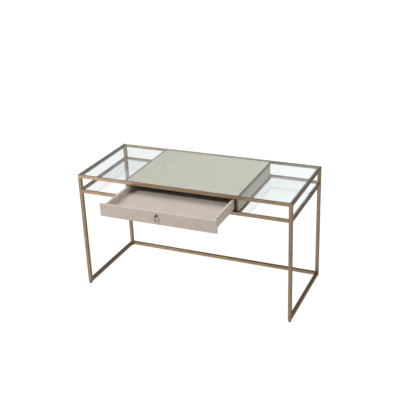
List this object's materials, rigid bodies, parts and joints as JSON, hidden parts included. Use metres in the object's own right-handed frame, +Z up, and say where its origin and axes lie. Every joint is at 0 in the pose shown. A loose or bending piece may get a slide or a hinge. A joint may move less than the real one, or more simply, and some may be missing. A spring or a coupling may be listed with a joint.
{
  "type": "dressing table",
  "caption": "Glass-topped dressing and writing table: slim bronze square-tube frame, clear side shelves, leather-covered centre case with a sliding drawer.",
  "frame": {"origin": "on the floor, midway between the four glide feet", "axes": "+Z up, -Y is the front where the drawer opens, +X to the right seen from the front"},
  "size_m": [1.4, 0.9355, 0.775],
  "materials": {
    "bronze_tube": "square steel tube, brushed and plated in a satin antique bronze",
    "glide_plastic": "moulded black nylon",
    "clear_glass": "8 mm clear float glass with polished edges",
    "clear_pad": "clear soft vinyl dots",
    "stained_board": "fibreboard, stained near black",
    "smooth_leather": "smooth beige leather with a fine grain",
    "embossed_leather": "beige leather embossed with a slanting woven relief",
    "wrapped_board": "board wrapped in smooth greige leather cloth",
    "suede_lining": "short-napped suede cloth",
    "zinc_steel": "zinc-plated sheet and screws",
    "felt": "pressed felt dots",
    "antique_brass": "turned brass, darkened and waxed"
  },
  "bodies": {
    "table": {"front_left_leg": "bronze_tube", "front_right_leg": "bronze_tube", "rear_left_leg": "bronze_tube", "rear_right_leg": "bronze_tube", "front_top_rail": "bronze_tube", "rear_top_rail": "bronze_tube", "left_top_rail": "bronze_tube", "right_top_rail": "bronze_tube", "front_lower_rail": "bronze_tube", "rear_lower_rail": "bronze_tube", "left_lower_rail": "bronze_tube", "right_lower_rail": "bronze_tube", "left_shelf_bearer": "bronze_tube", "right_shelf_bearer": "bronze_tube", "left_top_bar": "bronze_tube", "right_top_bar": "bronze_tube", "left_floor_runner": "bronze_tube", "right_floor_runner": "bronze_tube", "rear_floor_stretcher": "bronze_tube", "floor_glides": "glide_plastic", "top_glass": "clear_glass", "left_shelf_glass": "clear_glass", "right_shelf_glass": "clear_glass", "top_glass_pads": "clear_pad", "shelf_glass_pads": "clear_pad", "case_top_board": "stained_board", "case_left_board": "stained_board", "case_right_board": "stained_board", "case_back_board": "stained_board", "case_floor_board": "stained_board", "case_top_leather": "smooth_leather", "case_left_leather": "smooth_leather", "case_right_leather": "smooth_leather", "case_back_leather": "smooth_leather", "left_slide_outer": "zinc_steel", "right_slide_outer": "zinc_steel", "case_floor_screws": "zinc_steel", "slide_case_screws": "zinc_steel", "drawer_bumpers": "felt"},
    "drawer": {"drawer_front_board": "stained_board", "drawer_front_leather": "embossed_leather", "drawer_left_side": "wrapped_board", "drawer_right_side": "wrapped_board", "drawer_back": "wrapped_board", "drawer_bottom": "wrapped_board", "drawer_lining": "suede_lining", "left_slide_inner": "zinc_steel", "right_slide_inner": "zinc_steel", "slide_drawer_screws": "zinc_steel", "pull_stud": "antique_brass", "pull_screw": "zinc_steel", "pull_pin": "antique_brass"},
    "left_middle_slide": {"left_slide_middle": "zinc_steel"},
    "right_middle_slide": {"right_slide_middle": "zinc_steel"},
    "left_lower_cage": {"left_lower_ball_cage": "zinc_steel"},
    "right_lower_cage": {"right_lower_ball_cage": "zinc_steel"},
    "left_upper_cage": {"left_upper_ball_cage": "zinc_steel"},
    "right_upper_cage": {"right_upper_ball_cage": "zinc_steel"},
    "pull_drop": {"pull_drop": "antique_brass"}
  },
  "joints": [
    {"name": "drawer_slide", "type": "slide", "parent": "table", "child": "drawer", "axis": [0, -1, 0], "range_m": [-0.305, 0.145]},
    {"name": "left_middle_travel", "type": "slide", "parent": "table", "child": "left_middle_slide", "axis": [0, -1, 0], "range_m": [-0.1525, 0.0725]},
    {"name": "left_lower_cage_travel", "type": "slide", "parent": "table", "child": "left_lower_cage", "axis": [0, -1, 0], "range_m": [-0.07625, 0.03625]},
    {"name": "left_upper_cage_travel", "type": "slide", "parent": "table", "child": "left_upper_cage", "axis": [0, -1, 0], "range_m": [-0.22875, 0.10875]},
    {"name": "right_middle_travel", "type": "slide", "parent": "table", "child": "right_middle_slide", "axis": [0, -1, 0], "range_m": [-0.1525, 0.0725]},
    {"name": "right_lower_cage_travel", "type": "slide", "parent": "table", "child": "right_lower_cage", "axis": [0, -1, 0], "range_m": [-0.07625, 0.03625]},
    {"name": "right_upper_cage_travel", "type": "slide", "parent": "table", "child": "right_upper_cage", "axis": [0, -1, 0], "range_m": [-0.22875, 0.10875]},
    {"name": "pull_swing", "type": "hinge", "parent": "drawer", "child": "pull_drop", "pos_m": [0, -0.626, 0.732], "axis": [-1, 0, 0], "range_deg": [-18, 95]}
  ],
  "couplings": [
    {"joint": "left_middle_travel", "follows": "drawer_slide", "ratio": 0.5},
    {"joint": "left_lower_cage_travel", "follows": "drawer_slide", "ratio": 0.25},
    {"joint": "left_upper_cage_travel", "follows": "drawer_slide", "ratio": 0.75},
    {"joint": "right_middle_travel", "follows": "drawer_slide", "ratio": 0.5},
    {"joint": "right_lower_cage_travel", "follows": "drawer_slide", "ratio": 0.25},
    {"joint": "right_upper_cage_travel", "follows": "drawer_slide", "ratio": 0.75}
  ]
}
